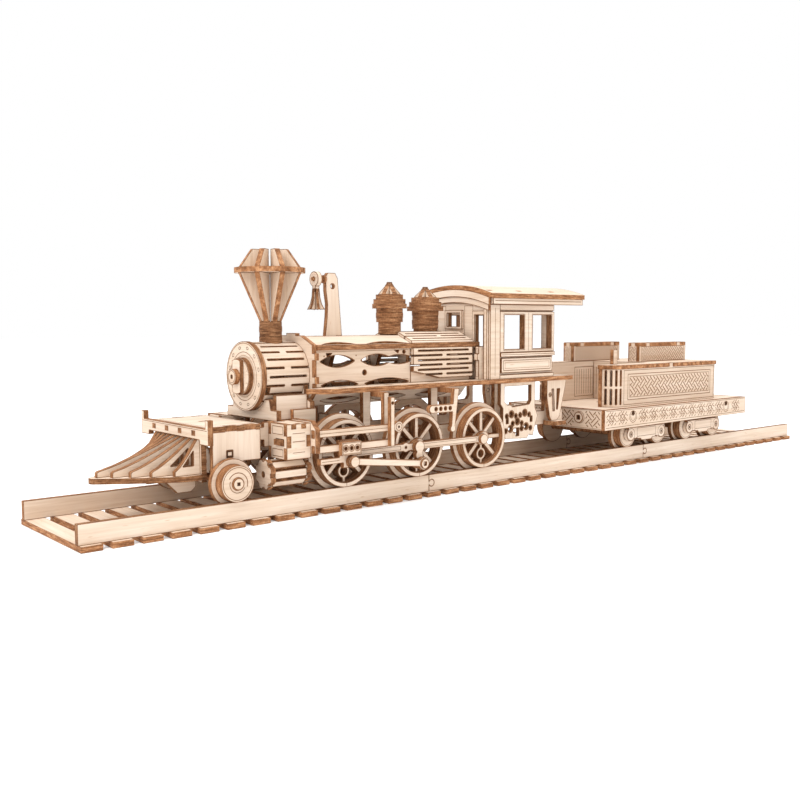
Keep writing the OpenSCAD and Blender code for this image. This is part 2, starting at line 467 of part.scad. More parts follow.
module crosshead_l() {
  gz0 = 36.5; gz1 = 40.6;
  color(light) {
    // front plate over the slide bar, keepers above and below it
    sy(gb_y+T+0.06) difference() { union() { rect([176.1,34.2],[190.2,42]); } for (x=[179,183.2,187.4]) at([x,38.2]) circle(1.1,$fn=24); }
    sy(gb_y+0.06) rect([176.6,gz1+0.06],[189.8,42.8]);
    sy(gb_y+0.06) union() { rect([176.6,gz0-0.06],[189.8,33]); rect([178.5,33],[203.2,29.6]); circle_at(wrist,3.6); rect([178.3,26.5],[187,33]); }
  }
  color(dark) yrod(wrist[0],wrist[1],gb_y+T+0.06,mr_y+T+1.4,1.5,32);
  color(dark) difference() { yrod(wrist[0],wrist[1],mr_y+T+0.2,mr_y+T+1.4,3.2,40); yrod(wrist[0],wrist[1],mr_y,mr_y+T+3,1.5,32); }
}
module crosshead_left() crosshead_l();
module crosshead_right() mirror([0,1,0]) crosshead_l();

// ---- tender --------------------------------------------------------------
tf = -53.4; tr = -249; ty = 48.7;
module tender_deck() color(light) {
  sz(deck_z-T) difference() { rect([tr+T,-ty+T],[tf-T,ty-T]); for (x=bog) at([x,0]) circle(T+fit,$fn=48); }
  // drawbar with its eye round the coupling pin
  sz(36) difference() { union() { rect([tf-16,-5],[-25,5]); at([-25,0]) circle(7,$fn=48); } at([-25,0]) circle(4,$fn=48); }
  translate([tf-16,-5,39]) cube([10,10,deck_z-T-39]);
}
module side_board_2d() difference() {
  polygon([[tf,29.5],[tf,deck_z],[tr,deck_z],[tr,31]]);
  for (x=[-88,-218]) at([x,40.8]) circle(1.7,$fn=32);
}
module tender_boards() color(light) {
  both() sy(ty-T) side_board_2d();
  sx(tf-T) difference() { rect([-ty+T,29.5],[ty-T,deck_z]); both2() at([25,38.2]) square([3.2,3.2],center=true); rect([-5.3,35.8],[5.3,39.3]); }
  sx(tr) rect([-ty+T,31],[ty-T,deck_z]);
  both() sx(tf,1.5) difference() { at([25,38.2]) circle(4.3,$fn=48); at([25,38.2]) square([3.2,3.2],center=true); }
}
tk_f = -72.8; tk_b = -213; tk_o = 40; tk_i = 27; tk_t = 74.3; tk_r = 13;
module tender_tanks() color(light) {
  both() {
    sy(tk_o-T) rect([tk_f-tk_r,deck_z],[tk_b,tk_t]);
    sy(tk_i) rect([tk_f,deck_z],[tk_b+T,tk_t]);
    sx(tk_b) rect([tk_i,deck_z],[tk_o-T,tk_t]);
    // slotted round corner
    translate([tk_f-tk_r, tk_o-tk_r, deck_z]) difference() {
      intersection() { difference() { cylinder(r=tk_r,h=tk_t-deck_z,$fn=120); translate([0,0,-1]) cylinder(r=tk_r-T,h=40,$fn=120); } translate([0,0,-1]) cube([20,20,40]); }
      for (a=[9:18:81]) rotate([0,0,a]) translate([tk_r-T-1,-0.75,0]) { translate([0,0,2]) cube([T+2,1.5,12]); translate([0,0,16.2]) cube([T+2,1.5,12]); }
    }
  }
  tender_tank_tops();
  // cross wall of the coal space
  sx(-138) rect([-tk_i,deck_z],[tk_i,tk_t]);
  sx(tk_b) rect([-tk_i,deck_z],[tk_i,tk_t]);
}
module tank_top_2d() union() { 
  difference() { union() { rect([tk_f-tk_r,tk_i],[tk_b-1,tk_o+1]); intersection() { at([tk_f-tk_r,tk_o-tk_r]) circle(tk_r+1,$fn=96); rect([tk_f-tk_r-1,tk_i],[tk_f+2,tk_o+2]); } } rect([-152,tk_o-T],[-146,tk_o+2]); }
}
module tender_tank_tops() color(light) {
  both() sz(tk_t) tank_top_2d();
  both() translate([-152,tk_o-T,tk_t]) cube([6,T,T]);
  sz(tk_t) rect([-135,-tk_i],[tk_b-1,tk_i]);
}
module bunker_boxes() {
  color(light) fbox([-170,-38,tk_t+T],[61.5,11,15.7],3,5);
  color(light) fbox([-207,4,tk_t+T],[66,11,15.7],3,5);
  color(mid) sy(tk_i) rect([-87,tk_t+T],[-92,tk_t+T+11.5]);
}
// ---- bogies ----------------------------------------------------------------
bf_y = fl_y + 2*T + 0.3;      // inner face of a bogie side frame
module bogie_side_2d() difference() {
  union() { for (s=[-1,1]) at([s*bog_wb,cz]) circle(5.2,$fn=48); polygon([[-bog_wb,28.5],[bog_wb,28.5],[bog_wb-2,20.5],[8,20.5],[6,18.5],[-6,18.5],[-8,20.5],[-bog_wb+2,20.5]]); rect([-14,20],[14,29.2]); rect([-bog_wb-3,25],[bog_wb+3,29.2]); }
  for (s=[-1,1]) at([s*bog_wb,cz]) circle(2+fit,$fn=32);
  both2() at([12.4,19.2]) circle(1.6,$fn=24);
}
module bogie_frame(x) translate([x,0,0]) {
  color(light) both() sy(bf_y) bogie_side_2d();
  color(mid) translate([-5,-bf_y,25]) cube([T,2*bf_y,12.8]);
  color(mid) translate([5-T,-bf_y,25]) cube([T,2*bf_y,12.8]);
  color(mid) translate([-9,-12,37.8]) cube([18,24,T]);
  color(dark) translate([0,0,40.8]) cylinder(r=T,h=deck_z-40.8,$fn=48);
  color(dark) translate([0,0,40.8]) difference() { cylinder(r=6,h=1.1,$fn=48); translate([0,0,-1]) cylinder(r=T,h=3,$fn=48); }
}
module bogie_front() bogie_frame(bog[0]);
module bogie_rear() bogie_frame(bog[1]);
module tender_axle(x) translate([x,0,cz]) {
  color(dark) translate([0,-(bf_y+T),0]) rotate([-90,0,0]) cylinder(r=2,h=2*(bf_y+T),$fn=32);
  color(light) both() small_wheel(2);
}
module tender_axle_1() tender_axle(bog[0] + bog_wb);
module tender_axle_2() tender_axle(bog[0] - bog_wb);
module tender_axle_3() tender_axle(bog[1] + bog_wb);
module tender_axle_4() tender_axle(bog[1] - bog_wb);

rail_left();
rail_right();
sleepers();
cowcatcher_base();
cowcatcher_fins();
pilot_deck();
pilot_side_plates();
buffer_beam();
main_frames();
steam_chests();
cylinders();
guide_bars();
motion_brackets();
saddle();
smokebox_ring();
smokebox_door();
door_handle();
smokebox_wrap();
boiler_formers();
boiler_top_panels();
boiler_side_panels();
boiler_ridges();
boiler_lower_panels();
firebox_wrap();
chimney_neck();
chimney_fins();
bell_bracket();
bell();
sand_dome();
steam_dome();
running_boards();
cab_end_walls();
cab_sides();
cab_roof();
cab_mouldings();
under_cab_plates();
cab_steps();
driver_front();
driver_middle();
driver_rear();
pilot_wheels();
coupling_rod_left();
coupling_rod_right();
main_rod_left();
main_rod_right();
crosshead_left();
crosshead_right();
tender_deck();
tender_boards();
tender_tanks();
bunker_boxes();
bogie_front();
bogie_rear();
tender_axle_1();
tender_axle_2();
tender_axle_3();
tender_axle_4();
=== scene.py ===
import bpy, bmesh, json, math
from mathutils import Vector, Matrix
from mathutils.bvhtree import BVHTree


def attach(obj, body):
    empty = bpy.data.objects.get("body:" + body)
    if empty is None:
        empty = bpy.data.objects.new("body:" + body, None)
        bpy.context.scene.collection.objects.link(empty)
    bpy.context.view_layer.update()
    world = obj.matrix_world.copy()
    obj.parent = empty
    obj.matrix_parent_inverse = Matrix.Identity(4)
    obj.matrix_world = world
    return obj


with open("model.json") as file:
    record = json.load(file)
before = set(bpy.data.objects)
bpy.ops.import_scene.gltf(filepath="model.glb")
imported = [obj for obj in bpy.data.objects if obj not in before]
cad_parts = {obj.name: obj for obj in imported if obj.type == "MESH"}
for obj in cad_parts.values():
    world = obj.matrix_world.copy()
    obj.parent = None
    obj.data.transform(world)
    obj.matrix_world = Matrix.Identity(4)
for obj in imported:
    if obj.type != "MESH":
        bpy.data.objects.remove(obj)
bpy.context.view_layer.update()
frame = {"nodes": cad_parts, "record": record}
NODES = frame["nodes"]
BODY = {n: b for b, ns in frame["record"]["behaviour"]["bodies"].items() for n in ns}
MM = 0.001
scene = bpy.context.scene

# ---------------------------------------------------------------- materials
def new_mat(name):
    m = bpy.data.materials.new(name)
    m.use_nodes = True
    nt = m.node_tree
    for n in list(nt.nodes):
        if n.type != "OUTPUT_MATERIAL":
            nt.nodes.remove(n)
    out = [n for n in nt.nodes if n.type == "OUTPUT_MATERIAL"][0]
    b = nt.nodes.new("ShaderNodeBsdfPrincipled")
    nt.links.new(b.outputs["BSDF"], out.inputs["Surface"])
    return m, nt, b


def noise(nt, vec, scale, detail=3.0, rough=0.55, dist=0.0):
    n = nt.nodes.new("ShaderNodeTexNoise")
    n.inputs["Scale"].default_value = scale
    n.inputs["Detail"].default_value = detail
    n.inputs["Roughness"].default_value = rough
    n.inputs["Distortion"].default_value = dist
    nt.links.new(vec, n.inputs["Vector"])
    return n.outputs[0]


def ramp(nt, fac, stops):
    r = nt.nodes.new("ShaderNodeValToRGB")
    el = r.color_ramp.elements
    while len(el) < len(stops):
        el.new(0.5)
    for e_, (p, c) in zip(el, stops):
        e_.position = p
        e_.color = (c[0], c[1], c[2], 1)
    nt.links.new(fac, r.inputs[0])
    return r.outputs[0]


def mix(nt, kind, fac, a, b):
    m = nt.nodes.new("ShaderNodeMix")
    m.data_type = "RGBA"
    m.blend_type = kind
    if isinstance(fac, float):
        m.inputs[0].default_value = fac
    else:
        nt.links.new(fac, m.inputs[0])
    for sock, v in ((m.inputs[6], a), (m.inputs[7], b)):
        if isinstance(v, tuple):
            sock.default_value = (v[0], v[1], v[2], 1)
        else:
            nt.links.new(v, sock)
    return m.outputs[2]


def mapped(nt, scale, off=(0, 0, 0)):
    tc = nt.nodes.new("ShaderNodeTexCoord")
    mp = nt.nodes.new("ShaderNodeMapping")
    mp.inputs["Scale"].default_value = scale
    mp.inputs["Location"].default_value = off
    nt.links.new(tc.outputs["Object"], mp.inputs["Vector"])
    return mp.outputs[0]


def tone(c, k, w=0.0):
    return (c[0] * k * (1 + w), c[1] * k, c[2] * k * (1 - w))


def make_face(name, axis, k, seed, w=0.0):
    """Sanded birch sheet: streaks along one axis, broad tone changes, small dark flecks."""
    m, nt, b = new_mat(name)
    sc = [620.0, 620.0, 620.0]
    sc[axis] = 22.0
    v = mapped(nt, sc, (seed, seed * 1.7, seed * 0.6))
    streak = noise(nt, v, 1.0, 4.0, 0.6, 0.25)
    sc2 = [70.0, 70.0, 70.0]
    sc2[axis] = 14.0
    broad = noise(nt, mapped(nt, sc2, (seed * 2.1, seed, 1.0)), 1.0, 2.0, 0.5)
    c_lo = tone((0.620, 0.470, 0.350), k, w)
    c_md = tone((0.700, 0.555, 0.435), k, w)
    c_hi = tone((0.765, 0.635, 0.520), k, w)
    col = ramp(nt, streak, [(0.28, c_lo), (0.47, c_md), (0.70, c_hi)])
    tint = ramp(nt, broad, [(0.30, (0.90, 0.865, 0.82)), (0.62, (1.0, 1.0, 1.0))])
    col = mix(nt, "MULTIPLY", 1.0, col, tint)
    sc3 = [1500.0, 1500.0, 1500.0]
    sc3[axis] = 150.0
    fleck = noise(nt, mapped(nt, sc3, (seed, 3.0, seed)), 1.0, 1.0, 0.5)
    fm = ramp(nt, fleck, [(0.70, (1, 1, 1)), (0.80, (0.80, 0.70, 0.60))])
    col = mix(nt, "MULTIPLY", 1.0, col, fm)
    nt.links.new(col, b.inputs["Base Color"])
    b.inputs["Roughness"].default_value = 0.62
    b.inputs["Specular IOR Level"].default_value = 0.25
    bp = nt.nodes.new("ShaderNodeBump")
    bp.inputs["Strength"].default_value = 0.18
    bp.inputs["Distance"].default_value = 0.0002
    nt.links.new(streak, bp.inputs["Height"])
    nt.links.new(bp.outputs[0], b.inputs["Normal"])
    return m


def make_edge(name, k, seed, axis=None):
    """Laser-scorched cut edge: brown, streaked along the plies when the sheet's normal is known."""
    m, nt, b = new_mat(name)
    sc = [120.0, 120.0, 120.0] if axis is not None else [260.0, 260.0, 260.0]
    if axis is not None:
        sc[axis] = 1150.0
    n1 = noise(nt, mapped(nt, sc, (seed, 0.3, seed)), 1.0, 3.0, 0.6)
    n2 = noise(nt, mapped(nt, (950.0, 950.0, 950.0), (0, seed, 0)), 1.0, 3.0, 0.6)
    col = ramp(nt, n1, [(0.32, tone((0.135, 0.056, 0.022), k)), (0.50, tone((0.270, 0.122, 0.052), k)), (0.68, tone((0.46, 0.250, 0.125), k))])
    t2 = ramp(nt, n2, [(0.32, (0.70, 0.64, 0.60)), (0.60, (1.05, 1.02, 1.0))])
    col = mix(nt, "MULTIPLY", 1.0, col, t2)
    nt.links.new(col, b.inputs["Base Color"])
    b.inputs["Roughness"].default_value = 0.75
    b.inputs["Specular IOR Level"].default_value = 0.2
    return m


def make_line(name, a, c, seed):
    m, nt, b = new_mat(name)
    n1 = noise(nt, mapped(nt, (400.0, 400.0, 400.0), (seed, 0, 0)), 1.0, 3.0, 0.6)
    col = ramp(nt, n1, [(0.30, a), (0.70, c)])
    nt.links.new(col, b.inputs["Base Color"])
    b.inputs["Roughness"].default_value = 0.8
    b.inputs["Specular IOR Level"].default_value = 0.15
    return m


FACE = {}
for ax, an in enumerate("xyz"):
    for i, (k, w) in enumerate(((1.0, 0.0), (0.95, 0.015), (1.03, -0.01))):
        FACE[(ax, i)] = make_face("birch_face_%s%d" % (an, i), ax, k, 1.3 + 2.7 * i + 5.1 * ax, w)
EDGE = [make_edge("burnt_edge_%d" % i, k, 1.0 + i) for i, k in enumerate((1.0, 1.22, 0.82))]
PLY = {(ax, i): make_edge("ply_edge_%s%d" % ("xyz"[ax], i), k, 1.0 + i, ax) for ax in range(3) for i, k in enumerate((1.0, 1.22, 0.82))}
LINE = make_line("engraved_line", (0.150, 0.066, 0.030), (0.270, 0.135, 0.068), 1.0)
SOFT = make_line("engraved_soft", (0.320, 0.180, 0.100), (0.460, 0.290, 0.180), 2.0)
# Near-black fill for holes and slots: painted shade of their dark insides, darker than the burnt cut edges.
HOLE_SHADE = make_line("painted_hole_shade", (0.045, 0.020, 0.010), (0.10, 0.045, 0.022), 3.0)
SCORCH = make_line("scorch_rim", (0.150, 0.064, 0.028), (0.290, 0.145, 0.072), 4.0)
MATS = {"line": LINE, "soft": SOFT, "hole": HOLE_SHADE, "edge": EDGE[0], "edge1": EDGE[1], "edge2": EDGE[2], "face": FACE[(0, 0)]}

# ------------------------------------------------- sheet faces and cut edges
AXIS = {"rail_left": "y", "rail_right": "y", "sleepers": "z", "cowcatcher_fins": "y", "pilot_deck": "z",
        "pilot_side_plates": "y", "buffer_beam": "x", "motion_brackets": "y", "smokebox_ring": "x",
        "smokebox_door": "x", "door_handle": "x", "boiler_formers": "x", "boiler_side_panels": "y",
        "boiler_ridges": "z", "chimney_neck": "z", "bell_bracket": "y", "running_boards": "z",
        "cab_end_walls": "x", "cab_sides": "y", "under_cab_plates": "y", "driver_front": "y",
        "driver_middle": "y", "driver_rear": "y", "pilot_wheels": "y", "coupling_rod_left": "y",
        "coupling_rod_right": "y", "main_rod_left": "y", "main_rod_right": "y", "crosshead_left": "y",
        "crosshead_right": "y", "tender_axle_1": "y", "tender_axle_2": "y", "tender_axle_3": "y",
        "tender_axle_4": "y", "tender_deck": "z"}
GRAIN = {"sleepers": 1, "chimney_fins": 2, "chimney_neck": 0, "under_cab_plates": 2, "cab_steps": 2, "bell_bracket": 2,
         "buffer_beam": 1, "pilot_side_plates": 2}
BROAD = {"steam_chests", "bunker_boxes", "tender_tanks", "tender_boards"}
DOMES = {"sand_dome", "steam_dome"}
PLYAX = {"sand_dome": "z", "steam_dome": "z", "bunker_boxes": "z", "cab_roof": "z", "cowcatcher_base": "z"}


def regions(bm, lim):
    """Groups of faces joined across edges flatter than lim."""
    seen = [-1] * len(bm.faces)
    out = []
    for f in bm.faces:
        if seen[f.index] >= 0:
            continue
        g = len(out)
        stack = [f]
        seen[f.index] = g
        mem = []
        while stack:
            a = stack.pop()
            mem.append(a)
            for e in a.edges:
                if len(e.link_faces) != 2:
                    continue
                o = e.link_faces[0] if e.link_faces[1] is a else e.link_faces[1]
                if seen[o.index] < 0 and a.normal.dot(o.normal) > lim:
                    seen[o.index] = g
                    stack.append(o)
        out.append(mem)
    return out


def dress(name, ob, seed):
    """Give every polygon its sheet-face or cut-edge material, and draw the scorched rim of each face."""
    me = ob.data
    me.materials.clear()
    i = seed % 3
    pa = PLYAX.get(name, AXIS.get(name))
    mats = [FACE[(0, i)], FACE[(1, i)], FACE[(2, i)], EDGE[seed % 3] if pa is None else PLY[("xyz".index(pa), seed % 3)]]
    for m in mats:
        me.materials.append(m)
    bm = bmesh.new()
    bm.from_mesh(me)
    idx = bm.faces.layers.int.new("orig")
    for f, p in zip(bm.faces, me.polygons):
        f[idx] = p.index
    bmesh.ops.remove_doubles(bm, verts=bm.verts, dist=2e-6)
    bm.normal_update()
    bm.faces.ensure_lookup_table()
    bm.faces.index_update()
    bvh = BVHTree.FromBMesh(bm)
    ax = AXIS.get(name)
    light = {}
    for mem in regions(bm, math.cos(math.radians(12))):
        area = thin = 0.0
        nrm = Vector((0, 0, 0))
        for f in mem:
            a = f.calc_area()
            area += a
            nrm += f.normal * a
            if ax is None:
                c = f.calc_center_median()
                hit = bvh.ray_cast(c - f.normal * 2e-5, -f.normal, 0.05)
                d = hit[3]
                if d is not None and 0.0009 <= d <= 0.0036:
                    thin += a
        if ax is None:
            lit = thin > 0.5 * area
            if name in BROAD:
                cs = [v.co for f in mem for v in f.verts]
                ext = sorted((max(c[q] for c in cs) - min(c[q] for c in cs) for q in range(3)), reverse=True)
                zx = max(c[2] for c in cs) - min(c[2] for c in cs)
                flat = abs(nrm[2]) > 0.9 * area
                lit = area > 25e-6 and ext[1] > 0.0033 and (flat or zx > 0.0033)
            elif name in DOMES:
                lit = lit or abs(nrm[2]) > 0.9 * area
            elif name in ("cab_mouldings", "firebox_wrap"):
                lit = lit or (abs(nrm[0]) > 0.9 * area and area > 12e-6) or (name == "firebox_wrap" and area > 60e-6)
        else:
            k = "xyz".index(ax)
            lit = abs(nrm[k]) > 0.9 * area if area > 0 else False
        for f in mem:
            light[f.index] = lit
    g = GRAIN.get(name)
    for f in bm.faces:
        o = f[idx]
        if light[f.index]:
            n = f.normal
            if g is not None:
                gi = g
            elif abs(n.x) > 0.8:
                gi = 1
            else:
                gi = 0
            me.polygons[o].material_index = gi
        else:
            me.polygons[o].material_index = 3
    # scorched rim
    V, F = [], []
    wd, off = 0.00034, 0.00003
    for e in bm.edges:
        if len(e.link_faces) != 2:
            continue
        fa, fb = e.link_faces
        if fa.normal.dot(fb.normal) > 0.86:
            continue
        for f in (fa, fb):
            if not light[f.index]:
                continue
            for lp in f.loops:
                if lp.edge is e:
                    a, b = lp.vert.co, lp.link_loop_next.vert.co
                    break
            d = b - a
            if d.length < 1e-6:
                continue
            d.normalize()
            inw = f.normal.cross(d) * wd
            up = f.normal * off
            s = len(V)
            V += [a + up, b + up, b + inw + up, a + inw + up]
            F.append((s, s + 1, s + 2, s + 3))
    bm.free()
    if F:
        rm = bpy.data.meshes.new("rim_" + name)
        rm.from_pydata([tuple(v) for v in V], [], F)
        rm.materials.append(SCORCH)
        ro = bpy.data.objects.new("rim_" + name, rm)
        scene.collection.objects.link(ro)
        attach(ro, BODY[name])


for s_, n_ in enumerate(sorted(NODES)):
    dress(n_, NODES[n_], s_)

# ------------------------------------------------------------ engraved work
BUF = {}


class Deco:
    """Thin drawn work on a flat face: plane is ('x'|'y'|'z', position, outward sign)."""
    OFF = 0.05

    def __init__(self, body, plane, pos, sign, both=False, off=None):
        self.body, self.plane, self.pos, self.sign, self.both = body, plane, pos, sign, both
        self.off = self.OFF if off is None else off

    def p3(self, u, v):
        q = self.pos + self.sign * self.off
        if self.plane == "y":
            return (u, q, v)
        if self.plane == "x":
            return (q, u, v)
        return (u, v, q)

    def poly(self, pts, mat="line"):
        body = self.body
        for m in ((1, -1) if self.both else (1,)):
            bd = body
            if m < 0:
                bd = body.replace("_left", "_right")
            V, F = BUF.setdefault((bd, mat), ([], []))
            s = len(V)
            P = [self.p3(*p) for p in pts]
            V += [(a * MM, b * m * MM, c * MM) for a, b, c in P]
            F.append(tuple(range(s, s + len(P))))

    def rect(self, x0, y0, x1, y1, mat="edge"):
        self.poly([(x0, y0), (x1, y0), (x1, y1), (x0, y1)], mat)

    def line(self, pts, w=0.45, mat="line", closed=False):
        n = len(pts)
        for i in range(n if closed else n - 1):
            a, b = pts[i], pts[(i + 1) % n]
            dx, dy = b[0] - a[0], b[1] - a[1]
            L = math.hypot(dx, dy)
            if L < 1e-9:
                continue
            dx, dy = dx / L, dy / L
            nx, ny = -dy * w / 2, dx * w / 2
            e = w / 2 * 0.8
            self.poly([(a[0] - dx * e + nx, a[1] - dy * e + ny), (a[0] - dx * e - nx, a[1] - dy * e - ny),
                       (b[0] + dx * e - nx, b[1] + dy * e - ny), (b[0] + dx * e + nx, b[1] + dy * e + ny)], mat)

    def frame(self, x0, y0, x1, y1, w=0.45, mat="line"):
        self.line([(x0, y0), (x1, y0), (x1, y1), (x0, y1)], w, mat, True)

    def arc(self, c, r, w=0.45, a0=0, a1=360, mat="line", n=None):
        n = n or max(8, int(abs(a1 - a0) / 8))
        r0, r1 = r - w / 2, r + w / 2
        for i in range(n):
            t0 = math.radians(a0 + (a1 - a0) * i / n)
            t1 = math.radians(a0 + (a1 - a0) * (i + 1) / n)
            self.poly([(c[0] + r0 * math.cos(t0), c[1] + r0 * math.sin(t0)), (c[0] + r1 * math.cos(t0), c[1] + r1 * math.sin(t0)),
                       (c[0] + r1 * math.cos(t1), c[1] + r1 * math.sin(t1)), (c[0] + r0 * math.cos(t1), c[1] + r0 * math.sin(t1))], mat)

    # By default a disc is the near-black painted shade of a hole.
    def disc(self, c, r, mat="hole", n=20):
        self.poly([(c[0] + r * math.cos(2 * math.pi * i / n), c[1] + r * math.sin(2 * math.pi * i / n)) for i in range(n)], mat)

    def oval(self, c, a, b, ang, w=0.35, mat="line", n=18):
        ca, sa = math.cos(ang), math.sin(ang)
        P = []
        for i in range(n):
            t = 2 * math.pi * i / n
            x, y = a * math.cos(t), b * math.sin(t)
            P.append((c[0] + x * ca - y * sa, c[1] + x * sa + y * ca))
        self.line(P, w, mat, True)

    def weave(self, x0, y0, x1, y1, step=4.6, k=3, w=0.42, mat="line"):
        """Basket weave turned 45 degrees: cells of k strokes, alternate cells crossed, cut off at the panel's edge."""
        c = math.sqrt(0.5)
        n = int((x1 - x0 + y1 - y0) / step) + 2
        for i in range(-n, n + 1):
            for j in range(-n, n + 1):
                for q in range(k):
                    o = (q + 0.5) / k * step
                    if (i + j) % 2 == 0:
                        a, b = (i * step, j * step + o), ((i + 1) * step, j * step + o)
                    else:
                        a, b = (i * step + o, j * step), (i * step + o, (j + 1) * step)
                    pa = (x0 + (a[0] - a[1]) * c, y0 + (a[0] + a[1]) * c)
                    pb = (x0 + (b[0] - b[1]) * c, y0 + (b[0] + b[1]) * c)
                    t0, t1 = 0.0, 1.0
                    for p_, d_, lo, hi in ((pa[0], pb[0] - pa[0], x0, x1), (pa[1], pb[1] - pa[1], y0, y1)):
                        ta, tb = sorted(((lo - p_) / d_, (hi - p_) / d_))
                        t0, t1 = max(t0, ta), min(t1, tb)
                    if t1 - t0 > 0.08:
                        self.line([(pa[0] + (pb[0] - pa[0]) * t, pa[1] + (pb[1] - pa[1]) * t) for t in (t0, t1)], w, mat)


def flush():
    for (bd, mat), (V, F) in sorted(BUF.items()):
        me = bpy.data.meshes.new("engraving_%s_%s" % (bd, mat))
        me.from_pydata(V, [], F)
        me.materials.append(MATS[mat])
        o = bpy.data.objects.new("engraving_%s_%s" % (bd, mat), me)
        scene.collection.objects.link(o)
        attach(o, bd)


def box_joints(body, p, s, nv, nx, both=False, T=3.0):
    """Show the scorched finger ends on a finger-jointed box."""
    x0, y0, z0 = p
    x1, y1, z1 = x0 + s[0], y0 + s[1], z0 + s[2]
    hv = s[2] / nv
    hx = (s[0] - 2 * T) / nx
    for pos, sg in ((y1, 1), (y0, -1)):
        d = Deco(body, "y", pos, sg, both)
        for i in range(nv):
            if i % 2 == 1:
                d.rect(x0, z0 + i * hv, x0 + T, z0 + (i + 1) * hv)
                d.rect(x1 - T, z0 + i * hv, x1, z0 + (i + 1) * hv)
        for i in range(nx):
            if i % 2 == 0:
                d.rect(x0 + T + i * hx, z1 - T, x0 + T + (i + 1) * hx, z1)
    for pos, sg in ((x1, 1), (x0, -1)):
        d = Deco(body, "x", pos, sg, both)
        for i in range(nv):
            if i % 2 == 0:
                d.rect(y0, z0 + i * hv, y0 + T, z0 + (i + 1) * hv)
                d.rect(y1 - T, z0 + i * hv, y1, z0 + (i + 1) * hv)
    d = Deco(body, "z", z1, 1, both)
    d.rect(x0, y0, x0 + T, y1)
    d.rect(x1 - T, y0, x1, y1)
    for i in range(nx):
        if i % 2 == 1:
            d.rect(x0 + T + i * hx, y0, x0 + T + (i + 1) * hx, y0 + T)
            d.rect(x0 + T + i * hx, y1 - T, x0 + T + (i + 1) * hx, y1)


L = "locomotive"
# steam chests
box_joints(L, (207, 26, 34), (16, 19, 20), 3, 3, True)
d = Deco(L, "y", 45, 1, True)
d.line([(211, 44), (219, 44)])
d.line([(211, 48.6), (219, 48.6)], 0.35)
d.line([(211, 37.8), (219, 37.8)], 0.35)
d = Deco(L, "x", 223, 1, True)
# Painted shade: near-black fill of the slot in the chest front.
d.rect(33.6, 41.6, 42.4, 45.6, "hole")
d.frame(30.5, 35.5, 41, 39.5, 0.4)
d.frame(30.5, 48, 41, 52.4, 0.4)
# smokebox ring
d = Deco(L, "x", 223.1, 1)
for i in range(12):
    a = math.radians(15 + 30 * i)
    d.oval((17.0 * math.cos(a), 79 + 17.0 * math.sin(a)), 1.15, 0.75, a + math.pi / 2, 0.32)
d.arc((0, 79), 19.5, 0.4)
d.arc((0, 79), 14.3, 0.4)
d.arc((0, 79), 12.3, 0.3, mat="soft")
d = Deco(L, "x", 226.1, 1)
d.arc((0, 79), 10.3, 0.35)
for a in range(0, 360, 45):
    d.disc((9.2 * math.cos(math.radians(a + 22)), 79 + 9.2 * math.sin(math.radians(a + 22))), 0.35, "line", 8)
d = Deco(L, "x", 231.3, 1)
d.arc((0, 79), 3.6, 0.4)
# Painted shade: near-black fill of the hole in the door's centre.
d.rect(-1, 78, 1, 80, "hole")
# pilot deck, sides and beam
d = Deco(L, "z", 54.3, 1, True)
d.rect(235, 29, 242, 32)
d.rect(247, 29, 254, 32)
d.line([(234, 27), (264, 27)], 0.4)
d = Deco(L, "z", 54.3, 1)
d.rect(246, -1.5, 253, 1.5)
d.line([(234, 27), (234, -27)], 0.4)
d.line([(264, 27), (264, -27)], 0.4)
d = Deco(L, "y", 32, 1, True)
# Painted shade: near-black square hole, with a pale square inside it.
d.rect(249.5, 37, 253.5, 41, "hole")
d.rect(235, 51.3, 242, 54.3)
d.rect(247, 51.3, 254, 54.3)
d = Deco(L, "y", 32, 1, True, off=0.1)
d.rect(250.4, 38.1, 252.6, 39.9, "face")
d = Deco(L, "x", 269, 1)
for y in (-24, -8, 8, 24):
    d.rect(y - 2.2, 49.6, y + 2.2, 52.6)
d.line([(-39, 53.3), (39, 53.3)], 0.35)
# running boards
d = Deco(L, "z", 71.5, 1, True)
d.line([(-30, 34.6), (186, 34.6)], 0.35, "soft")
for x in (60, 96, 132, 168):
    d.rect(x, 25.4, x + 6, 28.2)
# cab sides
d = Deco(L, "y", 34.2, 1, True)
d.frame(-8.6, 77.2, 39.5, 84.0, 0.45)
d.frame(-7.0, 78.6, 37.9, 82.6, 0.3, "soft")
d = Deco(L, "y", 34.5, 1, True)
d.frame(20.4 - 1.7, 91.1, 39.9, 115.9, 0.35)
d.frame(-9.7, 91.1, 11.3, 115.9, 0.35)
d.line([(15.0, 90.5), (15.0, 116.8)], 0.35)
d = Deco(L, "y", 35.4, 1, True)
d.line([(-11, 88), (42.4, 88)], 0.35)
d = Deco(L, "y", 34.6, 1, True)
d.line([(48.2, 74), (48.2, 120)], 0.35)
d = Deco(L, "y", 37.4, 1, True)
d.line([(-38, 124.8), (51, 124.8)], 0.45)
# cab front
d = Deco(L, "x", 53, 1)
for sgn in (1, -1):
    d.frame(sgn * 9.6, 97.8, sgn * 17.8, 121.6, 0.35)
d.line([(-28, 121.8), (-9.5, 123.4), (9.5, 123.4), (28, 121.8)], 0.35)
d = Deco(L, "x", 57.6, 1, True)
d.frame(25.7, 73.4, 27.8, 92.4, 0.3)
# cab roof tab marks
def roof_z(y, r=119.0):
    return 17.0 + math.sqrt(r * r - y * y)
for sgn in (1, -1):
    for x in (48.5, 20.0, -14.0):
        V, F = BUF.setdefault((L, "edge"), ([], []))
        s = len(V)
        for (xx, yy) in ((x, 30.2), (x + 4.5, 30.2), (x + 4.5, 32.6), (x, 32.6)):
            V.append((xx * MM, sgn * yy * MM, (roof_z(yy) + 0.06) * MM))
        F.append((s, s + 1, s + 2, s + 3))
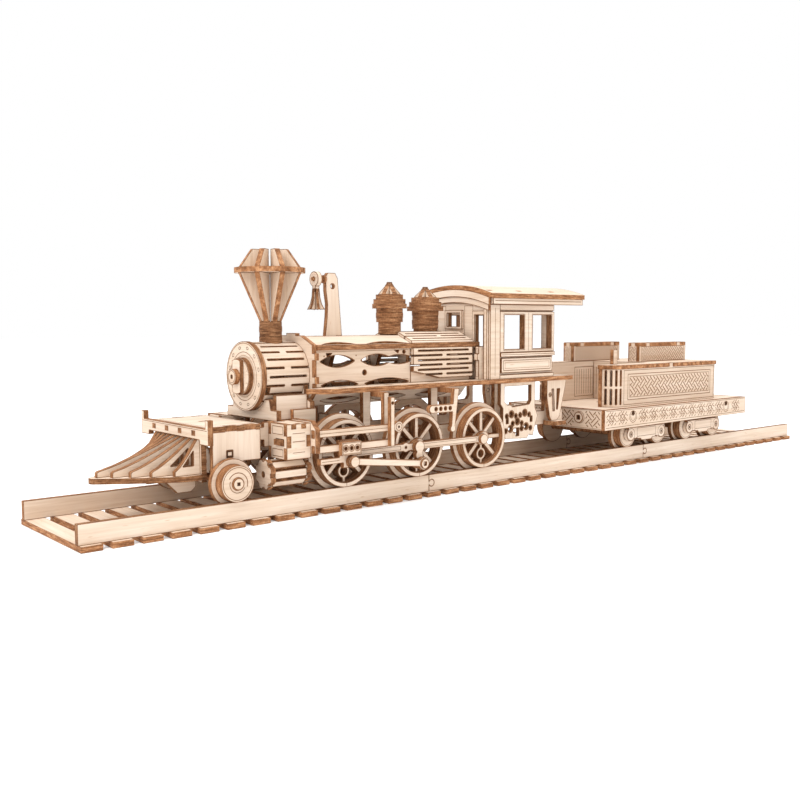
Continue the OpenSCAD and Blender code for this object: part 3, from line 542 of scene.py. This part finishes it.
# tender boards
t = "tender"
d = Deco(t, "y", 48.7, 1, True)
d.line([(-55, 43.9), (-247.5, 43.9)], 0.4)
d.line([(-55, 31.4), (-247.5, 32.8)], 0.4)
x = -61.6
while x > -243:
    if abs(x + 88) > 6.6 and abs(x + 218) > 6.6:
        d.weave(x - 5.9, 33.4, x + 5.9, 43.0, 5.6, 2, 0.6)
        d.arc((x, 38.2), 2.4, 0.55)
    x -= 13.2
for x in (-88, -218):
    d.arc((x, 38.2), 4.4, 0.5)
    d.arc((x, 38.2), 3.0, 0.4)
    # Painted shade: near-black fill of the hole below each ring.
    d.disc((x, 40.8), 1.75, "hole")
d = Deco(t, "x", -53.4, 1)
for a, b in ((-44, -31), (-19, -6.5), (6.5, 19), (31, 44)):
    d.weave(a, 31.6, b, 43.0, 6.0, 2, 0.8)
d.line([(-45, 44.2), (45, 44.2)], 0.35)
d.line([(-45, 30.5), (45, 30.5)], 0.35)
d = Deco(t, "x", -51.9, 1, True)
d.arc((25, 38.2), 3.7, 0.4)
d = Deco(t, "x", -53.4, 1, True, off=0.09)
d.rect(45.7, 29.6, 48.7, 45, "edge1")
d = Deco(t, "x", -249, -1)
d.weave(-44, 33.4, 44, 43.4, 5.6, 2, 0.6)
d.frame(-45.6, 32.4, 45.6, 44.2, 0.35)
d = Deco(t, "z", 45, 1, True)
d.rect(-54, 45.8, -248, 48.6, "edge")
d = Deco(t, "z", 45, 1)
d.rect(-56.3, -45.6, -53.5, 45.6, "edge")
d.rect(-248.9, -45.6, -246.1, 45.6, "edge")
# tender tanks
d = Deco(t, "y", 40, 1, True)
d.frame(-211.6, 46.6, -87.6, 73.0, 0.4)
d.frame(-206.5, 50.2, -92.5, 70.0, 0.55)
d.frame(-204.2, 52.2, -94.8, 68.0, 0.4)
d.weave(-203.4, 53.0, -95.6, 67.2, 6.2, 2, 0.85)
d = Deco(t, "x", -213, -1)
d.frame(-38.4, 47.4, 38.4, 72.8, 0.4)
d.weave(-36.6, 50.0, 36.6, 70.4, 6.2, 2, 0.85)
d = Deco(t, "y", 27, -1, True)
d.frame(-134.0, 48.0, -110.0, 72.5, 0.5)
for i in range(7):
    d.line([(-113 - i * 3.0, 50), (-113 - i * 3.0, 70.5)], 0.5)
d = Deco(t, "x", -135, 1)
for i in range(13):
    d.line([(-24 + i * 4, 49), (-24 + i * 4, 72)], 0.45)
d = Deco(t, "z", 77.3, 1, True)
d.line([(-86, 38.6), (-212, 38.6)], 0.35)
d.rect(-151.8, 37.2, -146.2, 39.9)
# bunker boxes: brown end grain along the top with two pale tabs, brown posts at the ends
for (bx, by, bl) in ((-170, -38, 61.5), (-207, 4, 66)):
    x1, y1, z1 = bx + bl, by + 11, 93.0
    for yy, sg in ((y1, 1), (by, -1)):
        d = Deco(t, "y", yy, sg)
        d.weave(bx + 3.6, 78.4, x1 - 3.6, z1 - 3.6, 4.4, 2, 0.6)
        c0 = bx
        for ta, tb in ((bx + bl * 0.13, bx + bl * 0.13 + 4.2), (bx + bl * 0.79, bx + bl * 0.79 + 4.2), (x1, x1)):
            d.rect(c0, z1 - 3, ta, z1, "edge1")
            c0 = tb
        d.frame(bx + 2.8, 77.9, x1 - 2.8, z1 - 3.2, 0.4)
    for xx, sg in ((x1, 1), (bx, -1)):
        d = Deco(t, "x", xx, sg)
        d.rect(by, 77.3, by + 1.2, z1 - 3, "edge1")
        d.rect(y1 - 3, 77.3, y1, z1 - 3, "edge")
        d.rect(by, z1 - 3, by + 3, z1, "edge1")
        d.rect(by + 6.5, z1 - 3, y1, z1, "edge1")
        d.weave(by + 1.8, 78.4, y1 - 3.4, z1 - 3.6, 4.0, 2, 0.55)
    d = Deco(t, "z", z1, 1)
    d.rect(bx, by, x1, by + 3, "edge1")
    d.rect(bx, y1 - 3, x1, y1, "edge1")
    d.rect(bx, by + 3, bx + 3, y1 - 3, "edge1")
    d.rect(x1 - 3, by + 3, x1, y1 - 3, "edge1")
# bogies
for bd, bx in (("bogie_front", -110.2), ("bogie_rear", -189.2)):
    d = Deco(bd, "y", 45.3, 1, True)
    for s in (-1, 1):
        d.arc((bx + s * 19.7, 23.8), 4.6, 0.35)
    d.frame(bx - 12, 21.8, bx + 12, 28.2, 0.35)
k = 1
for bx in (-110.2, -189.2):
    for s in (1, -1):
        c = (bx + s * 19.7, 23.8)
        d = Deco("tender_axle_%d" % k, "y", 45.3, 1, True)
        # Painted shade: near-black square at the axle centre.
        d.rect(c[0] - 0.9, c[1] - 0.9, c[0] + 0.9, c[1] + 0.9, "hole")
        d = Deco("tender_axle_%d" % k, "y", 42, 1, True)
        d.arc(c, 8.8, 0.35)
        k += 1
# pilot wheels
d = Deco("pilot_axle", "y", 42, 1, True)
c = (252.5, 23.8)
d.arc(c, 8.9, 0.4)
d.arc(c, 6.0, 0.5, 30, 200)
d.arc(c, 4.9, 0.4, 210, 380)
d = Deco("pilot_axle", "y", 43, 1, True)
d.arc(c, 3.0, 0.35)
# Painted shade: near-black square at the axle centre.
d.rect(c[0] - 1.0, c[1] - 1.0, c[0] + 1.0, c[1] + 1.0, "hole")
# driving wheels
for bd, x in (("driver_front", 179.6), ("driver_middle", 122.7), ("driver_rear", 65.8)):
    d = Deco(bd, "y", 42, 1, True)
    # Painted shade: near-black square at the hub.
    d.rect(x - 1.3, 32.5, x + 1.3, 35.1, "hole")
    for i in range(3):
        a = math.radians(30 + 120 * i)
        d.line([(x + 17.6 * math.cos(a), 33.8 + 17.6 * math.sin(a)), (x + 19.8 * math.cos(a), 33.8 + 19.8 * math.sin(a))], 0.35)
    # Dark ring just inside the tyre ring: partly a scorched cut line, partly painted shade where the ring shades the
    # spokes.
    d = Deco(bd, "y", 39, 1, True)
    d.arc((x, 33.8), 17.2, 0.3)
# rods
d = Deco("coupling_rod_left", "y", 45.35, 1, True)
for a, b in ((75.8, 124.0), (141.0, 180.6)):
    d.frame(a, 32.7, b, 34.9, 0.3)
for x in (71.3, 128.2, 185.1):
    d.arc((x, 33.8), 3.2, 0.3)
d = Deco("crosshead_left", "y", 51.96, 1, True)
d.frame(176.9, 35.0, 189.4, 41.3, 0.35)
for x in (179, 183.2, 187.4):
    d.arc((x, 38.2), 1.9, 0.45)
d = Deco("crosshead_left", "y", 48.96, 1, True)
d.line([(190, 31.3), (202, 31.3)], 0.3)
# slide bars and bracket
d = Deco(L, "y", 48.9, 1, True)
d.line([(152, 47.5), (203, 47.5)], 0.3)
d.arc((145.2, 47.5), 2.2, 0.4)
# Painted shade: near-black square in the bracket.
d.rect(144.5, 46.8, 145.9, 48.2, "hole")
# scrolls under the cab
d = Deco(L, "y", 33, 1, True)
for (x, z) in ((30, 46.4), (16.5, 46.6), (24, 41), (31, 36.2), (15, 37)):
    d.arc((x, z), 2.7, 0.45)
    d.arc((x + 4.6, z - 1.2), 2.0, 0.4, -150, 120)
    d.arc((x - 4.4, z - 1.4), 1.9, 0.4, 60, 330)
# boiler panels
d = Deco(L, "y", 22, 1, True)
d.line([(115, 92.9), (186, 92.9)], 0.3)
d.line([(115, 74.2), (186, 74.2)], 0.3)
for x in (143, 157, 181):
    d.disc((x, 90.2), 0.5, "line", 10)
d = Deco(L, "z", 102, 1)
d.line([(116, 7.6), (185, 7.6)], 0.35)
d.line([(116, -7.6), (185, -7.6)], 0.35)
# side rails' joint pins
d = Deco("track", "y", 40.3, 1, True)
for x in (-113.33, 113.33):
    d.line([(x, 3.4), (x, 13.4)], 0.3)
flush()

# ------------------------------------------------------ floor, light, camera
me = bpy.data.meshes.new("floor")
me.from_pydata([(-6, -6, 0), (6, -6, 0), (6, 6, 0), (-6, 6, 0)], [], [(0, 1, 2, 3)])
fm, nt, bs = new_mat("floor_white")
bs.inputs["Base Color"].default_value = (0.92, 0.92, 0.92, 1)
bs.inputs["Roughness"].default_value = 0.9
bs.inputs["Specular IOR Level"].default_value = 0.0
bs.inputs["Emission Color"].default_value = (1, 1, 1, 1)
bs.inputs["Emission Strength"].default_value = 0.15
me.materials.append(fm)
fo = bpy.data.objects.new("floor", me)
fo.location = (0, 0, -0.0002)
scene.collection.objects.link(fo)

w = bpy.data.worlds.new("studio")
scene.world = w
w.use_nodes = True
bg = w.node_tree.nodes.get("Background") or w.node_tree.nodes.new("ShaderNodeBackground")
bg.inputs[0].default_value = (1.0, 1.0, 1.0, 1)
bg.inputs[1].default_value = 1.0


def area(name, loc, target, size, power, col=(1, 1, 1)):
    ld = bpy.data.lights.new(name, "AREA")
    ld.shape = "RECTANGLE"
    ld.size, ld.size_y = size
    ld.energy = power
    ld.color = col
    o = bpy.data.objects.new(name, ld)
    o.location = loc
    o.rotation_euler = (Vector(target) - Vector(loc)).to_track_quat("-Z", "Y").to_euler()
    scene.collection.objects.link(o)


area("key", (1.50, 0.30, 1.15), (0.05, 0, 0.05), (1.0, 1.0), 15.0, (1.0, 0.985, 0.965))
area("top", (-0.2, 0.1, 1.6), (-0.05, 0, 0), (1.6, 1.2), 17.0)
area("fill", (-0.9, 1.3, 0.6), (-0.1, 0, 0.05), (1.0, 0.8), 1.6)

cd = bpy.data.cameras.new("cam")
cam = bpy.data.objects.new("cam", cd)
cd.sensor_width = 36.0
cd.sensor_fit = "HORIZONTAL"
cd.lens = 42.127
cd.clip_start = 0.01
cd.clip_end = 50
az, pit, roll = math.radians(39.8813), math.radians(4.7667), math.radians(-0.1257)
fw = Vector((-math.sin(az) * math.cos(pit), -math.cos(az) * math.cos(pit), -math.sin(pit)))
rt = fw.cross(Vector((0, 0, 1))).normalized()
up = rt.cross(fw)
r2 = rt * math.cos(roll) + up * math.sin(roll)
u2 = -rt * math.sin(roll) + up * math.cos(roll)
M = Matrix(((r2.x, u2.x, -fw.x, 0.50527), (r2.y, u2.y, -fw.y, 0.48082), (r2.z, u2.z, -fw.z, 0.11061), (0, 0, 0, 1)))
cam.matrix_world = M
scene.collection.objects.link(cam)
scene.camera = cam
scene.view_settings.view_transform = "Standard"
